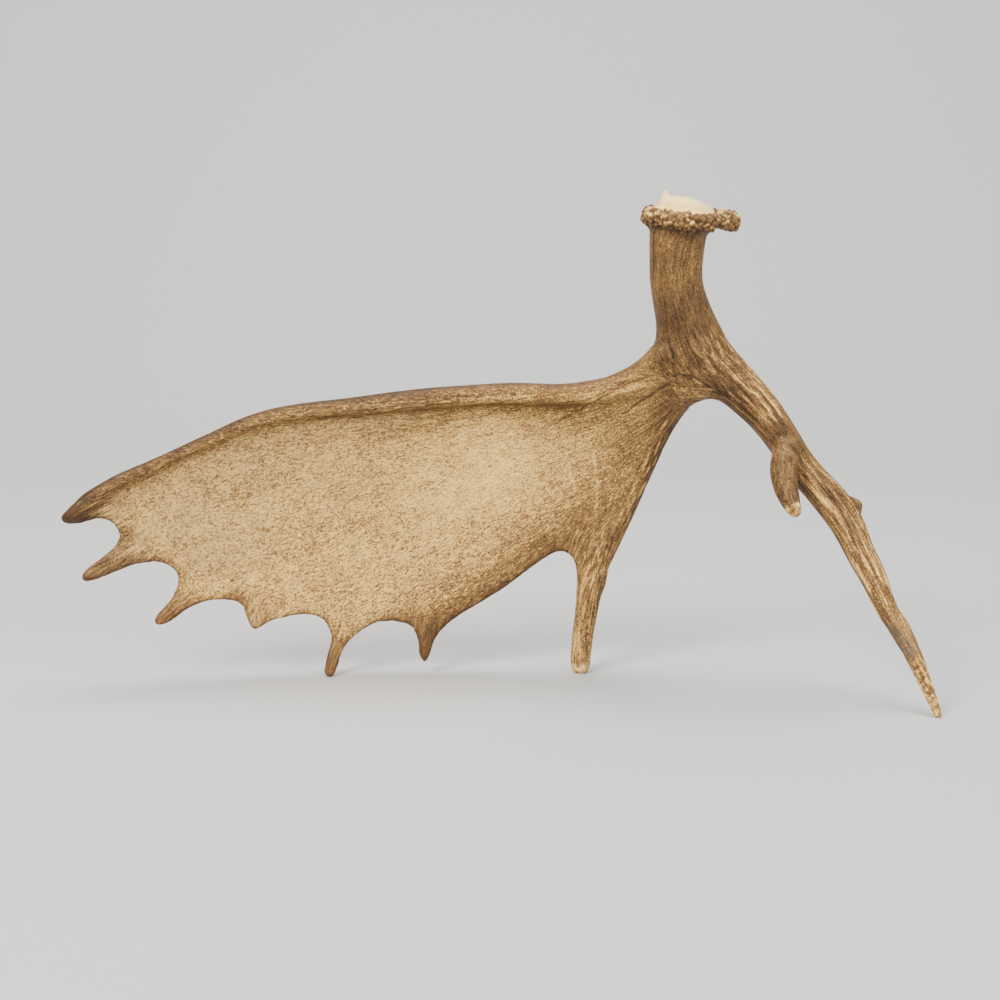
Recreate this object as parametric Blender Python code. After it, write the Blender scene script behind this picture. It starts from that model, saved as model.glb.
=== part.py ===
"""Moose antler standing on three of its points, one grown bone split at its main forks.

Metres, +Z up. The hollow (inner) face of the palm looks along -Y, the burr is at the top,
the palm runs out to -X and the brow tine runs down to +X.
"""

import math

import bmesh
import bpy
import numpy as np
from mathutils import Matrix, Vector

# ---- driving dimensions -------------------------------------------------------------------

BLADE_HALF_THICKNESS = 0.0043      # half thickness of the open palm
EDGE_ROUNDING = 0.0060             # width of the rounded border of the palm
FORK_SWELL = 0.0120                # extra half thickness of the palm where it meets the beam
FORK_SWELL_REACH = 0.075
FORK_CENTRE = (0.157, 0.262)       # x, z of the fork of beam, palm and brow tine

DISH_CENTRE = (-0.050, 0.120)      # x, z of the deepest place of the palm's hollow
DISH_DEPTH = 0.012
DISH_CURVE_ABOVE = 2.1             # how fast the hollow rises towards its borders, per metre
DISH_CURVE_BELOW = 1.5
DISH_CURVE_OUTWARD = 0.7
RIM_FORWARD = 0.003                # the rolled rim stands this far in front of the blade

BURR_CENTRE = (0.1540, -0.061, 0.3932)
BURR_AXIS = (0.06, -0.06, 1.0)
BURR_RING_RADIUS = 0.0345
BURR_DEPTH_RATIO = 0.90
PEARL_COUNT = 26
PEARL_RADIUS = 0.0058
COLLAR_HEIGHT = 0.0150             # the flare from the beam out to the burr
COLLAR_FOOT_RADIUS = 0.0225
COLLAR_FOOT_OFFSET = -0.0090
SEAL_FOOT_RADIUS = 0.0290
SEAL_TOP_RADIUS = 0.0215
SEAL_HEIGHT = 0.0150
SPIKE_OFFSET = (-0.0215, -0.003)   # place of the small spike on the seal
SPIKE_HEIGHT = 0.0220

SAW_CUT = 0.0003                   # gap that the pieces keep at a fork
FUSE_VOXEL = 0.0022
PLATE_VOXEL = 0.0020
SMOOTH_ROUNDS = 4
TRIANGLE_TARGET = 9000
TUBE_SIDES = 20

# ---- limbs: x, y, z, half width across the hollow face, half depth -------------------------

BEAM = [
    (0.1450, -0.0590, 0.3880, 0.0240, 0.0230), (0.1442, -0.0575, 0.3770, 0.0230, 0.0222),
    (0.1438, -0.0550, 0.3660, 0.0223, 0.0216), (0.1436, -0.0520, 0.3535, 0.0220, 0.0212),
    (0.1442, -0.0490, 0.3400, 0.0220, 0.0212), (0.1472, -0.0460, 0.3270, 0.0226, 0.0216),
    (0.1512, -0.0430, 0.3135, 0.0240, 0.0222), (0.1560, -0.0395, 0.2966, 0.0266, 0.0230),
    (0.1607, -0.0355, 0.2770, 0.0278, 0.0230),
    (0.1610, -0.0330, 0.2640, 0.0240, 0.0200),
]
BROW_TINE = [
    (0.1560, -0.0370, 0.2850, 0.0250, 0.0220), (0.1730, -0.0340, 0.2705, 0.0249, 0.0220),
    (0.1945, -0.0340, 0.2555, 0.0194, 0.0190), (0.2200, -0.0380, 0.2305, 0.0158, 0.0162),
    (0.2440, -0.0450, 0.1970, 0.0137, 0.0148), (0.2570, -0.0510, 0.1795, 0.0137, 0.0145),
    (0.2728, -0.0570, 0.1625, 0.0146, 0.0142), (0.2865, -0.0650, 0.1430, 0.0140, 0.0136),
    (0.2968, -0.0750, 0.1200, 0.0121, 0.0126), (0.3052, -0.0830, 0.1040, 0.0113, 0.0116),
    (0.3132, -0.0930, 0.0840, 0.0094, 0.0100), (0.3183, -0.0990, 0.0730, 0.0086, 0.0094),
    (0.3243, -0.1040, 0.0650, 0.0087, 0.0090), (0.3330, -0.1160, 0.0470, 0.0074, 0.0078),
    (0.3375, -0.1220, 0.0375, 0.0068, 0.0071), (0.3430, -0.1330, 0.0220, 0.0053, 0.0056),
    (0.3461, -0.1390, 0.0130, 0.0045, 0.0048), (0.3490, -0.1455, 0.0050, 0.0038, 0.0041),
    (0.3508, -0.1495, -0.0030, 0.0034, 0.0036),
]
BROW_PRONG = [
    (0.2400, -0.0470, 0.2080, 0.0105, 0.0105), (0.2350, -0.0620, 0.1975, 0.0117, 0.0115),
    (0.2325, -0.0740, 0.1865, 0.0114, 0.0105), (0.2332, -0.0830, 0.1760, 0.0102, 0.0095),
    (0.2356, -0.0900, 0.1667, 0.0084, 0.0080), (0.2382, -0.0950, 0.1600, 0.0064, 0.0062),
    (0.2405, -0.0985, 0.1545, 0.0040, 0.0040),
]
BROW_KNOB = [
    (0.2850, -0.0620, 0.1520, 0.0110, 0.0110), (0.2930, -0.0600, 0.1560, 0.0085, 0.0085),
    (0.2980, -0.0585, 0.1580, 0.0050, 0.0050), (0.2995, -0.0580, 0.1587, 0.0020, 0.0020),
]
INNER_TINE = [
    (0.1030, 0.0110, 0.1400, 0.0120, 0.0080), (0.0875, 0.0115, 0.1075, 0.0138, 0.0095),
    (0.0800, 0.0110, 0.0916, 0.0145, 0.0105), (0.0800, 0.0100, 0.0804, 0.0138, 0.0105),
    (0.0772, 0.0085, 0.0682, 0.0119, 0.0100), (0.0755, 0.0070, 0.0560, 0.0103, 0.0095),
    (0.0738, 0.0050, 0.0449, 0.0096, 0.0092), (0.0717, 0.0030, 0.0318, 0.0093, 0.0089),
    (0.0704, 0.0010, 0.0189, 0.0090, 0.0086), (0.0699, -0.0010, 0.0087, 0.0086, 0.0082),
    (0.0700, -0.0020, -0.0030, 0.0072, 0.0070),
]
INNER_RIB = [      # x, z, half width, half depth of the swollen right border of the palm
    (0.1520, 0.2480, 0.0150, 0.0160), (0.1365, 0.2200, 0.0125, 0.0125),
    (0.1235, 0.1850, 0.0110, 0.0105), (0.1095, 0.1500, 0.0110, 0.0095),
    (0.0930, 0.1150, 0.0120, 0.0090),
]
RIM = [            # x, z, half width, half depth of the rolled top border of the palm
    (0.1480, 0.2660, 0.0120, 0.0150), (0.1150, 0.2550, 0.0110, 0.0125),
    (0.0800, 0.2480, 0.0098, 0.0105), (0.0500, 0.2452, 0.0092, 0.0098),
    (0.0000, 0.2458, 0.0092, 0.0095), (-0.0585, 0.2418, 0.0087, 0.0090),
    (-0.1212, 0.2352, 0.0079, 0.0082), (-0.1713, 0.2306, 0.0070, 0.0075),
    (-0.2087, 0.2223, 0.0064, 0.0070), (-0.2463, 0.2062, 0.0056, 0.0065),
    (-0.2834, 0.1897, 0.0054, 0.0062), (-0.3185, 0.1748, 0.0057, 0.0062),
    (-0.3395, 0.1615, 0.0066, 0.0066), (-0.3530, 0.1505, 0.0062, 0.0060),
    (-0.3590, 0.1455, 0.0045, 0.0045),
]

# ---- outline of the palm (x, z), clockwise from the beam, one line per feature --------------

PALM_OUTLINE = [
    # top border, from the beam out to the first point
    (0.130, 0.288), (0.1215, 0.279), (0.109, 0.2707), (0.083, 0.259), (0.050, 0.254), (0.000, 0.255),
    (-0.059, 0.2505), (-0.121, 0.243), (-0.171, 0.2375), (-0.209, 0.2288), (-0.247, 0.212),
    (-0.284, 0.195), (-0.319, 0.180), (-0.343, 0.168), (-0.357, 0.155),
    # first point, blunt
    (-0.365, 0.147), (-0.362, 0.141), (-0.350, 0.140),
    (-0.336, 0.143), (-0.325, 0.139), (-0.320, 0.128), (-0.326, 0.117),
    # second point
    (-0.342, 0.105), (-0.351, 0.095), (-0.345, 0.090), (-0.328, 0.095),
    (-0.310, 0.101), (-0.292, 0.103), (-0.278, 0.097), (-0.274, 0.086), (-0.280, 0.071),
    # third point
    (-0.293, 0.056), (-0.289, 0.049), (-0.276, 0.054),
    (-0.263, 0.063), (-0.244, 0.068), (-0.223, 0.064),
    # fourth point, a small nub
    (-0.218, 0.053), (-0.211, 0.041), (-0.198, 0.047),
    (-0.185, 0.050), (-0.169, 0.052), (-0.154, 0.048), (-0.146, 0.034),
    # fifth point, one of the three that the antler stands on
    (-0.150, 0.015), (-0.152, 0.003), (-0.146, -0.004), (-0.140, 0.006), (-0.135, 0.021),
    (-0.125, 0.033), (-0.108, 0.043), (-0.091, 0.044), (-0.077, 0.040),
    # sixth point
    (-0.071, 0.028), (-0.066, 0.010), (-0.059, 0.023),
    (-0.051, 0.036), (-0.036, 0.049), (-0.017, 0.060), (0.005, 0.073), (0.033, 0.094),
    (0.050, 0.104), (0.062, 0.0995), (0.068, 0.082),
    # across the root of the inner tine, then up the right border to the fork
    (0.070, 0.070), (0.089, 0.070),
    (0.095, 0.095), (0.108, 0.124), (0.123, 0.158), (0.133, 0.187), (0.1445, 0.2145),
    (0.1545, 0.2315), (0.164, 0.2385), (0.175, 0.2405), (0.182, 0.262), (0.156, 0.289),
]

# ---- saw cuts at the main forks: a point on the cut, its normal, its radius -----------------

CUTS = {
    "brow_root": ((0.1840, -0.0340, 0.2680), (0.905, 0.0, -0.424), 0.042),
    "palm_root": ((0.1410, -0.0300, 0.2560), (-0.827, 0.0, -0.561), 0.043),
    "inner_root": ((0.0795, 0.0100, 0.0795), (0.20, 0.0, 0.98), 0.022),
    "prong_root": ((0.2345, -0.0680, 0.1945), (-0.20, -0.72, -0.67), 0.0165),
}

# a point well inside each piece, used to name the pieces after the cuts
PIECES = {
    "beam": (0.143, -0.052, 0.350),
    "palm": (-0.050, 0.012, 0.150),
    "inner_tine": (0.073, 0.004, 0.040),
    "brow_tine": (0.300, -0.077, 0.115),
    "brow_prong": (0.234, -0.086, 0.172),
}

COLOURS = {        # base colour, roughness
    "beam": ((0.29, 0.16, 0.07), 0.55),
    "palm": ((0.60, 0.43, 0.25), 0.62),
    "inner_tine": ((0.40, 0.25, 0.13), 0.58),
    "brow_tine": ((0.27, 0.16, 0.08), 0.50),
    "brow_prong": ((0.35, 0.21, 0.09), 0.52),
}


def clear_scene():
    for obj in list(bpy.data.objects):
        bpy.data.objects.remove(obj, do_unlink=True)


def new_object(name, mesh):
    obj = bpy.data.objects.new(name, mesh)
    bpy.context.scene.collection.objects.link(obj)
    return obj


def catmull_rom(points, steps, closed=False):
    """A smooth curve through the points, with `steps` samples per span."""
    p = np.array(points, dtype=float)
    n = len(p)
    spans = n if closed else n - 1
    out = []
    for i in range(spans):
        if closed:
            a, b, c, d = p[(i - 1) % n], p[i], p[(i + 1) % n], p[(i + 2) % n]
        else:
            a, b, c, d = p[max(i - 1, 0)], p[i], p[i + 1], p[min(i + 2, n - 1)]
        for k in range(steps):
            t = k / steps
            out.append(0.5 * (2 * b + (c - a) * t + (2 * a - 5 * b + 4 * c - d) * t ** 2
                              + (3 * b - a - 3 * c + d) * t ** 3))
    if not closed:
        out.append(p[-1])
    return np.array(out)


def dish(x, z):
    """Depth (y) of the middle of the palm's blade: a shallow hollow seen from -Y."""
    dx = np.minimum(x - DISH_CENTRE[0], 0.0)
    dz = z - DISH_CENTRE[1]
    rise = np.where(dz > 0, DISH_CURVE_ABOVE, DISH_CURVE_BELOW)
    return DISH_DEPTH - rise * dz ** 2 - DISH_CURVE_OUTWARD * dx ** 2


def limb(name, stations):
    """A tapered tube through the stations, closed at both ends."""
    path = catmull_rom(stations, 4)
    bm = bmesh.new()
    rings = []
    for i, (x, y, z, half_width, half_depth) in enumerate(path):
        ahead = path[min(i + 1, len(path) - 1), :3] - path[max(i - 1, 0), :3]
        along = Vector(ahead).normalized()
        across = along.cross(Vector((0.0, 1.0, 0.0))).normalized()
        depth = across.cross(along)
        ring = []
        for k in range(TUBE_SIDES):
            a = 2 * math.pi * k / TUBE_SIDES
            offset = across * (math.cos(a) * half_width) + depth * (math.sin(a) * half_depth)
            ring.append(bm.verts.new(Vector((x, y, z)) + offset))
        rings.append(ring)
    for lower, upper in zip(rings, rings[1:]):
        for k in range(TUBE_SIDES):
            j = (k + 1) % TUBE_SIDES
            bm.faces.new((lower[k], lower[j], upper[j], upper[k]))
    bm.faces.new(rings[0][::-1])
    bm.faces.new(rings[-1])
    bmesh.ops.recalc_face_normals(bm, faces=bm.faces)
    mesh = bpy.data.meshes.new(name)
    bm.to_mesh(mesh)
    bm.free()
    return new_object(name, mesh)


def border_limb(name, stations, forward):
    """A limb whose depth follows the palm's blade."""
    full = [(x, float(dish(x, z)) - forward, z, w, d) for x, z, w, d in stations]
    return limb(name, full)


def bake_modifiers(obj):
    """Replace the object's mesh with the one its modifiers give."""
    graph = bpy.context.evaluated_depsgraph_get()
    mesh = bpy.data.meshes.new_from_object(obj.evaluated_get(graph))
    obj.modifiers.clear()
    old = obj.data
    obj.data = mesh
    bpy.data.meshes.remove(old)


def distance_to_outline(points, outline):
    """Distance of each (x, z) point to the closed outline."""
    a = outline
    b = np.roll(outline, -1, axis=0)
    ab = b - a
    length2 = (ab ** 2).sum(1)
    best = np.full(len(points), np.inf)
    for start, along, l2 in zip(a, ab, length2):
        t = np.clip(((points - start) @ along) / l2, 0.0, 1.0)
        best = np.minimum(best, np.linalg.norm(points - start - t[:, None] * along, axis=1))
    return best


def palm_blade():
    """The dished plate of the palm with its small points, rounded all along its border."""
    outline = catmull_rom(PALM_OUTLINE, 5, closed=True)
    bm = bmesh.new()
    front = [bm.verts.new((x, -BLADE_HALF_THICKNESS, z)) for x, z in outline]
    face = bm.faces.new(front)
    grown = bmesh.ops.extrude_face_region(bm, geom=[face])
    back = [v for v in grown["geom"] if isinstance(v, bmesh.types.BMVert)]
    bmesh.ops.translate(bm, verts=back, vec=(0.0, 2 * BLADE_HALF_THICKNESS, 0.0))
    bmesh.ops.recalc_face_normals(bm, faces=bm.faces)
    mesh = bpy.data.meshes.new("palm_blade")
    bm.to_mesh(mesh)
    bm.free()
    obj = new_object("palm_blade", mesh)
    remesh = obj.modifiers.new("even", "REMESH")
    remesh.mode = "VOXEL"
    remesh.voxel_size = PLATE_VOXEL
    bake_modifiers(obj)

    mesh = obj.data
    co = np.empty(len(mesh.vertices) * 3)
    mesh.vertices.foreach_get("co", co)
    co = co.reshape(-1, 3)
    x, z = co[:, 0], co[:, 2]
    inside = distance_to_outline(co[:, [0, 2]], outline)
    border = np.clip(inside / EDGE_ROUNDING, 0.0, 1.0)
    roundness = np.sqrt(1.0 - (1.0 - border) ** 2)
    from_fork = np.hypot(x - FORK_CENTRE[0], z - FORK_CENTRE[1])
    swell = 1.0 + FORK_SWELL / BLADE_HALF_THICKNESS * np.exp(-(from_fork / FORK_SWELL_REACH) ** 2)
    co[:, 1] = dish(x, z) + co[:, 1] * swell * roundness
    mesh.vertices.foreach_set("co", co.ravel())
    mesh.update()
    return obj


def placed(mesh_name, maker, matrix):
    """A primitive made by `maker(bm)` and moved by the matrix."""
    bm = bmesh.new()
    maker(bm)
    bmesh.ops.transform(bm, matrix=matrix, verts=bm.verts)
    mesh = bpy.data.meshes.new(mesh_name)
    bm.to_mesh(mesh)
    bm.free()
    return new_object(mesh_name, mesh)


def frame_on(axis):
    """A frame whose Z is the axis and whose X stays close to the world's X."""
    up = Vector(axis).normalized()
    side = (Vector((1.0, 0.0, 0.0)) - up * up.x).normalized()
    return Matrix((side, up.cross(side), up)).transposed().to_4x4()


def frustum(bm, foot_radius, top_radius, height, foot_offset):
    """A round stump whose foot is moved sideways (along its own X)."""
    made = bmesh.ops.create_cone(bm, cap_ends=True, segments=32, radius1=foot_radius,
                                 radius2=top_radius, depth=height)
    foot = [v for v in made["verts"] if v.co.z < 0]
    bmesh.ops.translate(bm, verts=foot, vec=(foot_offset, 0.0, 0.0))


def burr():
    """The knobbly ring, the rough pale seal inside it and the small spike on the seal."""
    base = Matrix.Translation(BURR_CENTRE) @ frame_on(BURR_AXIS)
    flat = Matrix.Diagonal((1.0, BURR_DEPTH_RATIO, 1.0, 1.0))
    made = []
    for k in range(PEARL_COUNT):
        a = 2 * math.pi * k / PEARL_COUNT
        wobble = math.sin(3.1 * k) + 0.6 * math.sin(7.3 * k + 1.0)
        radius = PEARL_RADIUS * (1.0 + 0.14 * wobble)
        ring = BURR_RING_RADIUS * (1.0 + 0.03 * math.sin(5.7 * k))
        place = (ring * math.cos(a), ring * BURR_DEPTH_RATIO * math.sin(a), -0.0012 * wobble)
        stretch = Matrix.Diagonal((1.0, 1.0, 1.25, 1.0))
        made.append(placed(
            "pearl", lambda bm, r=radius: bmesh.ops.create_icosphere(bm, subdivisions=2, radius=r),
            base @ Matrix.Translation(place) @ stretch))
    made.append(placed(
        "collar",
        lambda bm: frustum(bm, COLLAR_FOOT_RADIUS, BURR_RING_RADIUS, COLLAR_HEIGHT,
                           COLLAR_FOOT_OFFSET),
        base @ flat @ Matrix.Translation((0.0, 0.0, -COLLAR_HEIGHT / 2 + 0.002))))
    made.append(placed(
        "seal", lambda bm: frustum(bm, SEAL_FOOT_RADIUS, SEAL_TOP_RADIUS, SEAL_HEIGHT, 0.004),
        base @ flat @ Matrix.Translation((-0.0035, 0.0, SEAL_HEIGHT / 2))))
    made.append(placed(
        "seal_spike", lambda bm: frustum(bm, 0.0062, 0.0026, SPIKE_HEIGHT, 0.0),
        base @ Matrix.Translation((*SPIKE_OFFSET, SPIKE_HEIGHT / 2))))
    return made


def join(objects, name):
    """All the objects' meshes in one object."""
    bm = bmesh.new()
    for obj in objects:
        bm.from_mesh(obj.data)
    mesh = bpy.data.meshes.new(name)
    bm.to_mesh(mesh)
    bm.free()
    for obj in objects:
        old = obj.data
        bpy.data.objects.remove(obj, do_unlink=True)
        bpy.data.meshes.remove(old)
    return new_object(name, mesh)


def fuse(obj):
    """Grow the overlapping shapes into one smooth skin with few triangles."""
    remesh = obj.modifiers.new("fuse", "REMESH")
    remesh.mode = "VOXEL"
    remesh.voxel_size = FUSE_VOXEL
    smooth = obj.modifiers.new("smooth", "SMOOTH")
    smooth.factor = 0.5
    smooth.iterations = SMOOTH_ROUNDS
    bake_modifiers(obj)
    thin = obj.modifiers.new("thin", "DECIMATE")
    thin.ratio = TRIANGLE_TARGET / (2.0 * len(obj.data.polygons))
    thin.use_collapse_triangulate = True
    bake_modifiers(obj)


def stand_flat(obj):
    """Cut off what reaches below the floor, so the resting points are flat."""
    bm = bmesh.new()
    bm.from_mesh(obj.data)
    everything = bm.verts[:] + bm.edges[:] + bm.faces[:]
    cut = bmesh.ops.bisect_plane(bm, geom=everything, plane_co=(0.0, 0.0, 0.0),
                                 plane_no=(0.0, 0.0, 1.0), clear_inner=True, dist=1e-6)
    rims = [e for e in cut["geom_cut"] if isinstance(e, bmesh.types.BMEdge)]
    bmesh.ops.holes_fill(bm, edges=rims, sides=0)
    bmesh.ops.triangulate(bm, faces=[f for f in bm.faces if len(f.verts) > 3])
    bm.to_mesh(obj.data)
    bm.free()


def saw(obj):
    """Cut the antler at its forks with thin round saw cuts."""
    for name, (centre, normal, radius) in CUTS.items():
        blade = placed(
            "saw_" + name,
            lambda bm, r=radius: bmesh.ops.create_cone(bm, cap_ends=True, segments=48, radius1=r,
                                                       radius2=r, depth=SAW_CUT),
            Matrix.Translation(centre) @ frame_on(normal))
        blade.hide_render = True
        blade.display_type = "WIRE"
        cut = obj.modifiers.new(name, "BOOLEAN")
        cut.operation = "DIFFERENCE"
        cut.object = blade
        bake_modifiers(obj)
        old = blade.data
        bpy.data.objects.remove(blade, do_unlink=True)
        bpy.data.meshes.remove(old)


def loose_parts(bm):
    """The connected groups of faces."""
    bm.faces.ensure_lookup_table()
    seen = set()
    groups = []
    for seed in bm.faces:
        if seed in seen:
            continue
        group, stack = [], [seed]
        seen.add(seed)
        while stack:
            face = stack.pop()
            group.append(face)
            for edge in face.edges:
                for other in edge.link_faces:
                    if other not in seen:
                        seen.add(other)
                        stack.append(other)
        groups.append(group)
    return groups


def bone_material(name):
    colour, roughness = COLOURS[name]
    material = bpy.data.materials.new(name)
    material.use_nodes = True
    shader = material.node_tree.nodes["Principled BSDF"]
    shader.inputs["Base Color"].default_value = (*colour, 1.0)
    shader.inputs["Roughness"].default_value = roughness
    shader.inputs["Metallic"].default_value = 0.0
    material.diffuse_color = (*colour, 1.0)
    return material


def split(obj):
    """Make a named object of each piece and put the origin under the middle of the antler."""
    co = np.array([v.co[:] for v in obj.data.vertices])
    low, high = co.min(0), co.max(0)
    shift = Vector((-(low[0] + high[0]) / 2, -(low[1] + high[1]) / 2, -low[2]))
    source = bmesh.new()
    source.from_mesh(obj.data)
    groups = loose_parts(source)
    for name, inside in PIECES.items():
        target = Vector(inside)
        group = min(groups, key=lambda g: min((f.calc_center_median() - target).length for f in g))
        groups.remove(group)
        bm = bmesh.new()
        new_vert = {}
        for face in group:
            for vert in face.verts:
                if vert not in new_vert:
                    new_vert[vert] = bm.verts.new(vert.co + shift)
            bm.faces.new([new_vert[v] for v in face.verts])
        bmesh.ops.triangulate(bm, faces=bm.faces[:])
        bmesh.ops.dissolve_degenerate(bm, dist=1e-5, edges=bm.edges[:])
        bmesh.ops.triangulate(bm, faces=bm.faces[:])
        mesh = bpy.data.meshes.new(name)
        bm.to_mesh(mesh)
        bm.free()
        piece = new_object(name, mesh)
        piece.data.materials.append(bone_material(name))
        piece.data.shade_smooth()
        piece.data.set_sharp_from_angle(angle=math.radians(50))
    source.free()
    old = obj.data
    bpy.data.objects.remove(obj, do_unlink=True)
    bpy.data.meshes.remove(old)


def build():
    clear_scene()
    shapes = [
        palm_blade(),
        limb("beam_shape", BEAM),
        limb("brow_shape", BROW_TINE),
        limb("prong_shape", BROW_PRONG),
        limb("knob_shape", BROW_KNOB),
        limb("inner_shape", INNER_TINE),
        border_limb("rib_shape", INNER_RIB, 0.0),
        border_limb("rim_shape", RIM, RIM_FORWARD),
        *burr(),
    ]
    antler = join(shapes, "antler")
    fuse(antler)
    stand_flat(antler)
    saw(antler)
    split(antler)


build()
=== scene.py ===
import math
import random

import bpy
import numpy as np
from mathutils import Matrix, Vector, kdtree, noise


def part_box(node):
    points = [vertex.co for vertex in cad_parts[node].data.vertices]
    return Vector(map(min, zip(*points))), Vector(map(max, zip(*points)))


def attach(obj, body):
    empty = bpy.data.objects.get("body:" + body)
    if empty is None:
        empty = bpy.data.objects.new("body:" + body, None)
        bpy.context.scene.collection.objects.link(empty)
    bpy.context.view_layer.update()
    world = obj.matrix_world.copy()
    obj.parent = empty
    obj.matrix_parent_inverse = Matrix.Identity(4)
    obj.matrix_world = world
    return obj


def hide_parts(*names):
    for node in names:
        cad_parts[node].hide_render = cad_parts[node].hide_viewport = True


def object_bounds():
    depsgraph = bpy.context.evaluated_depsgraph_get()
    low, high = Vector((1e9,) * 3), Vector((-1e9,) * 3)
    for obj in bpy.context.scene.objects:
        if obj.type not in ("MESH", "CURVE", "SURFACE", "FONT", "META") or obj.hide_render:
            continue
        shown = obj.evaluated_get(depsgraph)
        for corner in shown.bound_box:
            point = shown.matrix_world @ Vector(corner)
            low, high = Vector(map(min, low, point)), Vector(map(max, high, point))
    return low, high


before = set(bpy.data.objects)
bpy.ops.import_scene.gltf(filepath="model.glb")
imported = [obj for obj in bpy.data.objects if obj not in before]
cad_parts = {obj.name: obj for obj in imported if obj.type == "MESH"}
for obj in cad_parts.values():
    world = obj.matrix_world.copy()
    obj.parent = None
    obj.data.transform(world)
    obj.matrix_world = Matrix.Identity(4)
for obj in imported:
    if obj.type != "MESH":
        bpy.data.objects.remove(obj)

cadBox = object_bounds()
cadNodes = ["beam", "palm", "inner_tine", "brow_tine", "brow_prong"]
print("frame loaded", cadBox)


# small helpers

def deselectAll():
    bpy.ops.object.select_all(action="DESELECT")


def makeActive(obj):
    deselectAll()
    obj.select_set(True)
    bpy.context.view_layer.objects.active = obj


def applyModifier(obj, kind, **settings):
    makeActive(obj)
    mod = obj.modifiers.new(kind.lower(), kind)
    for key, value in settings.items():
        setattr(mod, key, value)
    bpy.ops.object.modifier_apply(modifier=mod.name)


def readPoints(obj):
    points = np.empty(len(obj.data.vertices) * 3)
    obj.data.vertices.foreach_get("co", points)
    return points.reshape(-1, 3)


def writePoints(obj, points):
    obj.data.vertices.foreach_set("co", np.ascontiguousarray(points).ravel())
    obj.data.update()


def readNormals(obj):
    normals = np.empty(len(obj.data.vertices) * 3)
    obj.data.vertex_normals.foreach_get("vector", normals)
    return normals.reshape(-1, 3)


def readEdges(obj):
    edges = np.empty(len(obj.data.edges) * 2, dtype=np.int64)
    obj.data.edges.foreach_get("vertices", edges)
    return edges.reshape(-1, 2)


def neighbourMean(points, edges):
    # average of each vertex's neighbours
    count = len(points)
    degree = np.bincount(edges.ravel(), minlength=count)
    out = np.empty_like(points)
    for c in range(3):
        total = np.bincount(edges[:, 0], points[edges[:, 1], c], count)
        total += np.bincount(edges[:, 1], points[edges[:, 0], c], count)
        out[:, c] = total / np.maximum(degree, 1)
    return out


def relax(obj, rounds):
    # smooths without shrinking: each step in is followed by a slightly longer step out
    stepIn, stepOut = 0.5, 0.52
    points = readPoints(obj)
    edges = readEdges(obj)
    for _ in range(rounds):
        points += stepIn * (neighbourMean(points, edges) - points)
        points -= stepOut * (neighbourMean(points, edges) - points)
    writePoints(obj, points)


def smoothStep(low, high, value):
    t = np.clip((value - low) / (high - low), 0.0, 1.0)
    return t * t * (3.0 - 2.0 * t)


def noiseAt(points, seed):
    # Perlin noise, -1 to 1, at each row
    return np.array([noise.noise((x + seed, y - seed, z + 2.0 * seed)) for x, y, z in points.tolist()])


def treeOf(points):
    tree = kdtree.KDTree(len(points))
    for i, point in enumerate(points.tolist()):
        tree.insert(point, i)
    tree.balance()
    return tree


def nearest(tree, points):
    found = [tree.find(point)[1:] for point in points.tolist()]
    return np.array([f[0] for f in found], dtype=int), np.array([f[1] for f in found])


def bell(value, middle, width):
    # 1 at the middle, falling off on both sides
    return np.exp(-((value - middle) / width) ** 2)


def fadeOut(distance, reach):
    return np.exp(-distance / reach)


def near2d(points, place, reach):
    # 1 at a place in the x, z plane, falling off around it
    return bell(np.hypot(points[:, 0] - place[0], points[:, 2] - place[1]), 0.0, reach)


def share(value):
    return np.clip(value, 0.0, 1.0)


def waves(points, length, seed):
    # noise with a wavelength in metres, or one wavelength per column
    return noiseAt(points / np.array(length), seed)


# camera, floor and light

cameraSetup = {
    "place": (0.0054, -1.6947, 0.446),
    "lookDown": 9.5,
    "lens": 75.0,
}
bpy.ops.object.camera_add(location=cameraSetup["place"],
                          rotation=(math.radians(90.0 - cameraSetup["lookDown"]), 0.0, 0.0))
camera = bpy.context.object
camera.name = "camera"
camera.data.lens = cameraSetup["lens"]
camera.data.sensor_width = 36.0
camera.data.clip_end = 50.0
bpy.context.scene.camera = camera

floorSetup = {
    "halfWidth": 9.0,
    "front": -9.0,
    "back": 2.4,
    "wallHeight": 6.0,
    "sweep": 1.2,
    "colour": (0.50, 0.51, 0.53, 1.0),
}


def makeFloor():
    # a floor that sweeps up into a wall behind
    bpy.ops.mesh.primitive_plane_add(size=1.0)
    floor = bpy.context.object
    floor.name = "floor"
    mesh = floor.data
    s = floorSetup
    for vert in mesh.vertices:
        vert.co.x = math.copysign(s["halfWidth"], vert.co.x)
        vert.co.y = s["back"] if vert.co.y > 0 else s["front"]
        vert.co.z = 0.0
    bpy.ops.object.mode_set(mode="EDIT")
    bpy.ops.mesh.select_all(action="DESELECT")
    bpy.ops.object.mode_set(mode="OBJECT")
    for edge in mesh.edges:
        edge.select = all(mesh.vertices[i].co.y > 0 for i in edge.vertices)
    bpy.ops.object.mode_set(mode="EDIT")
    bpy.ops.mesh.select_mode(type="EDGE")
    bpy.ops.mesh.extrude_region_move(TRANSFORM_OT_translate={"value": (0.0, 0.0, s["wallHeight"])})
    bpy.ops.object.mode_set(mode="OBJECT")
    applyModifier(floor, "BEVEL", width=s["sweep"], segments=24, limit_method="ANGLE")
    mesh.shade_smooth()
    material = bpy.data.materials.new("floorPaint")
    material.use_nodes = True
    shader = material.node_tree.nodes["Principled BSDF"]
    shader.inputs["Base Color"].default_value = s["colour"]
    shader.inputs["Roughness"].default_value = 0.75
    mesh.materials.append(material)


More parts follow.
